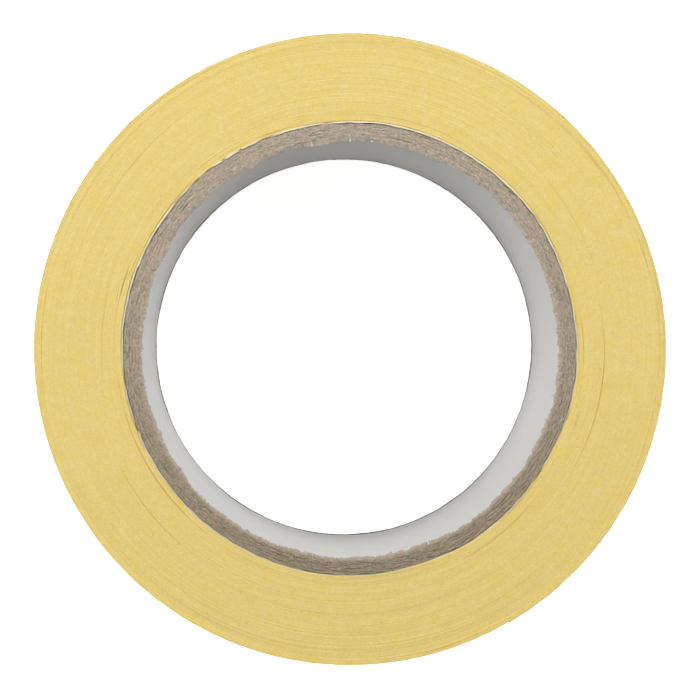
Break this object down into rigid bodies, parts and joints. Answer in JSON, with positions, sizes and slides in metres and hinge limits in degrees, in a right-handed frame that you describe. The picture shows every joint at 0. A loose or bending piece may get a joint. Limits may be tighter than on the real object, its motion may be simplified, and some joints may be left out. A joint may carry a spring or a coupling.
{
  "type": "masking tape roll",
  "caption": "Roll of crepe paper masking tape on a spiral-wound chipboard core, with a free end that peels off.",
  "frame": {"origin": "centre of the lower side face of the roll, which it lies on", "axes": "+Z along the roll's axis, from the lower side face to the upper one; the tape's free end is at -60 degrees from +X"},
  "size_m": [0.1149, 0.1149, 0.05],
  "materials": {
    "liner_paper": "satin",
    "chipboard": "matte",
    "ply_paper": "matte",
    "crepe_tape": "matte"
  },
  "bodies": {
    "roll": {"core_liner": "liner_paper", "core_board_ply_1": "chipboard", "core_board_ply_2": "chipboard", "core_board_ply_3": "chipboard", "core_board_ply_4": "chipboard", "core_board_ply_5": "chipboard", "core_outer_ply": "ply_paper", "tape_winding": "crepe_tape", "tape_outer_wrap": "crepe_tape"},
    "tape_end": {"tape_end": "crepe_tape"}
  },
  "joints": [
    {"name": "tape_end_peel", "type": "hinge", "parent": "roll", "child": "tape_end", "pos_m": [0.05207, -0.02443, 0.025], "axis": [0, 0, 1], "range_deg": [0, 110]}
  ]
}
